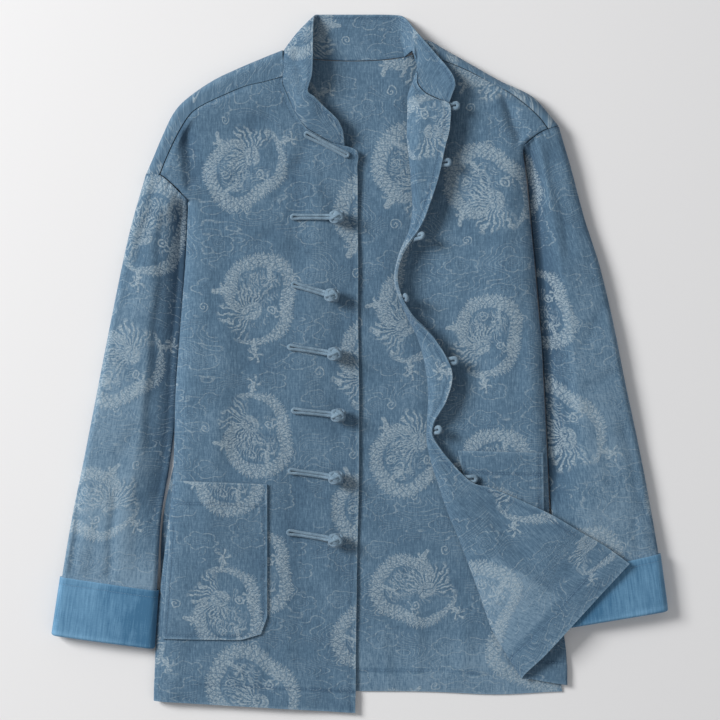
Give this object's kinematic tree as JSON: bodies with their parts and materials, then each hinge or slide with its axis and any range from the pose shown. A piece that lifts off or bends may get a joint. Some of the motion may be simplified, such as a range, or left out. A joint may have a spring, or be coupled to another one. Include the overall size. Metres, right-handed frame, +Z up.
{
  "type": "tang jacket, laid flat",
  "caption": "Long-sleeved jacket with a stand collar, frog closures, patch pockets and turned-up cuffs, laid open with one front folded back.",
  "frame": {"origin": "centre of the underside, on the surface that the jacket lies on", "axes": "+Z up from the surface, +Y from the hem towards the collar, +X towards the wearer's left"},
  "size_m": [0.6447, 0.7321, 0.034],
  "materials": {
    "jacquard": "matt woven cotton jacquard with a paler traditional figure",
    "cuff_cloth": "plain woven cotton with a slight sheen",
    "cord": "matt rolled bias cord"
  },
  "bodies": {
    "root": {"back": "jacquard", "front_right": "jacquard", "front_left": "jacquard", "sleeve_right": "jacquard", "sleeve_left": "jacquard", "collar": "jacquard", "pocket_right": "jacquard", "pocket_left": "jacquard", "cuff_right": "cuff_cloth", "cuff_left": "cuff_cloth", "frog_button_0": "cord", "frog_button_1": "cord", "frog_button_2": "cord", "frog_button_3": "cord", "frog_button_4": "cord", "frog_button_5": "cord", "frog_button_6": "cord", "frog_loop_0": "cord", "frog_loop_1": "cord", "frog_loop_2": "cord", "frog_loop_3": "cord", "frog_loop_4": "cord", "frog_loop_5": "cord", "frog_loop_6": "cord"}
  },
  "joints": []
}
